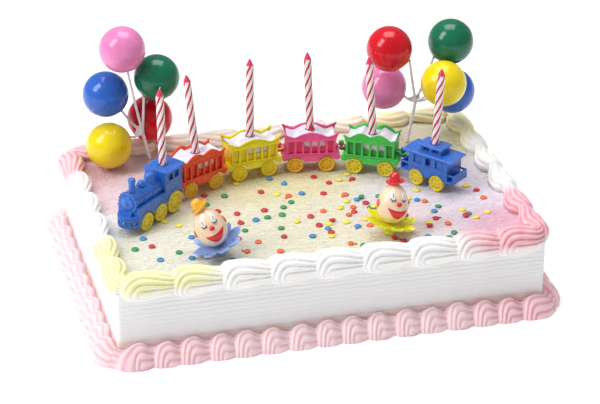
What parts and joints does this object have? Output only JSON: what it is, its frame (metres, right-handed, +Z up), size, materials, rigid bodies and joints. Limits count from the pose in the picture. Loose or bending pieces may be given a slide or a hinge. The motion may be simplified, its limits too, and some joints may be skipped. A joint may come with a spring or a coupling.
{
  "type": "birthday cake with candles",
  "caption": "Iced sheet cake with piped shell borders, a toy train of candle holders, twisted candles, balloon picks and clown picks.",
  "frame": {"origin": "centre of the cake where it rests, on the plane of its base", "axes": "+X along the long front side to the right, +Y to the back, +Z up"},
  "size_m": [0.362, 0.257, 0.1768],
  "materials": {
    "balloon_blue": "glossy moulded plastic",
    "balloon_green": "glossy moulded plastic",
    "balloon_pink": "glossy moulded plastic",
    "balloon_red": "glossy moulded plastic",
    "balloon_yellow": "glossy moulded plastic",
    "base_piping": "piped pink buttercream",
    "blue_plastic": "glossy moulded plastic",
    "candle_wax": "twisted wax with a spiral stripe and a coloured tip",
    "collar_blue": "glossy moulded plastic",
    "collar_yellow": "glossy moulded plastic",
    "gold_plastic": "glossy moulded plastic",
    "green_plastic": "glossy moulded plastic",
    "hat_red": "glossy moulded plastic",
    "hat_yellow": "glossy moulded plastic",
    "icing": "smooth buttercream icing, softly matt",
    "orange_plastic": "glossy moulded plastic",
    "pink_plastic": "glossy moulded plastic",
    "skin": "glossy moulded plastic",
    "top_piping": "piped buttercream with airbrushed tints",
    "white_plastic": "glossy moulded plastic",
    "yellow_plastic": "glossy moulded plastic"
  },
  "bodies": {
    "root": {"bottom_border_back": "base_piping", "bottom_border_front": "base_piping", "bottom_border_left": "base_piping", "bottom_border_right": "base_piping", "caboose_body": "blue_plastic", "caboose_wheels_1": "gold_plastic", "caboose_wheels_2": "gold_plastic", "cake": "icing", "candle_1": "candle_wax", "candle_2": "candle_wax", "candle_3": "candle_wax", "candle_4": "candle_wax", "candle_5": "candle_wax", "candle_6": "candle_wax", "clown_1_collar": "collar_blue", "clown_1_hat": "hat_yellow", "clown_1_head": "skin", "clown_2_collar": "collar_yellow", "clown_2_hat": "hat_red", "clown_2_head": "skin", "green_wagon_body": "green_plastic", "green_wagon_roof": "white_plastic", "green_wagon_wheels_1": "gold_plastic", "green_wagon_wheels_2": "gold_plastic", "left_balloon_blue": "balloon_blue", "left_balloon_green": "balloon_green", "left_balloon_pink": "balloon_pink", "left_balloon_red": "balloon_red", "left_balloon_stem": "white_plastic", "left_balloon_yellow": "balloon_yellow", "locomotive_body": "blue_plastic", "locomotive_wheels_1": "gold_plastic", "locomotive_wheels_2": "gold_plastic", "locomotive_wheels_3": "gold_plastic", "orange_wagon_body": "orange_plastic", "orange_wagon_roof": "white_plastic", "orange_wagon_wheels_1": "gold_plastic", "orange_wagon_wheels_2": "gold_plastic", "pink_wagon_body": "pink_plastic", "pink_wagon_roof": "white_plastic", "pink_wagon_wheels_1": "gold_plastic", "pink_wagon_wheels_2": "gold_plastic", "right_balloon_blue": "balloon_blue", "right_balloon_green": "balloon_green", "right_balloon_pink": "balloon_pink", "right_balloon_red": "balloon_red", "right_balloon_stem": "white_plastic", "right_balloon_yellow": "balloon_yellow", "top_border_back": "top_piping", "top_border_front": "top_piping", "top_border_left": "top_piping", "top_border_right": "top_piping", "yellow_wagon_body": "yellow_plastic", "yellow_wagon_roof": "white_plastic", "yellow_wagon_wheels_1": "gold_plastic", "yellow_wagon_wheels_2": "gold_plastic"}
  },
  "joints": []
}
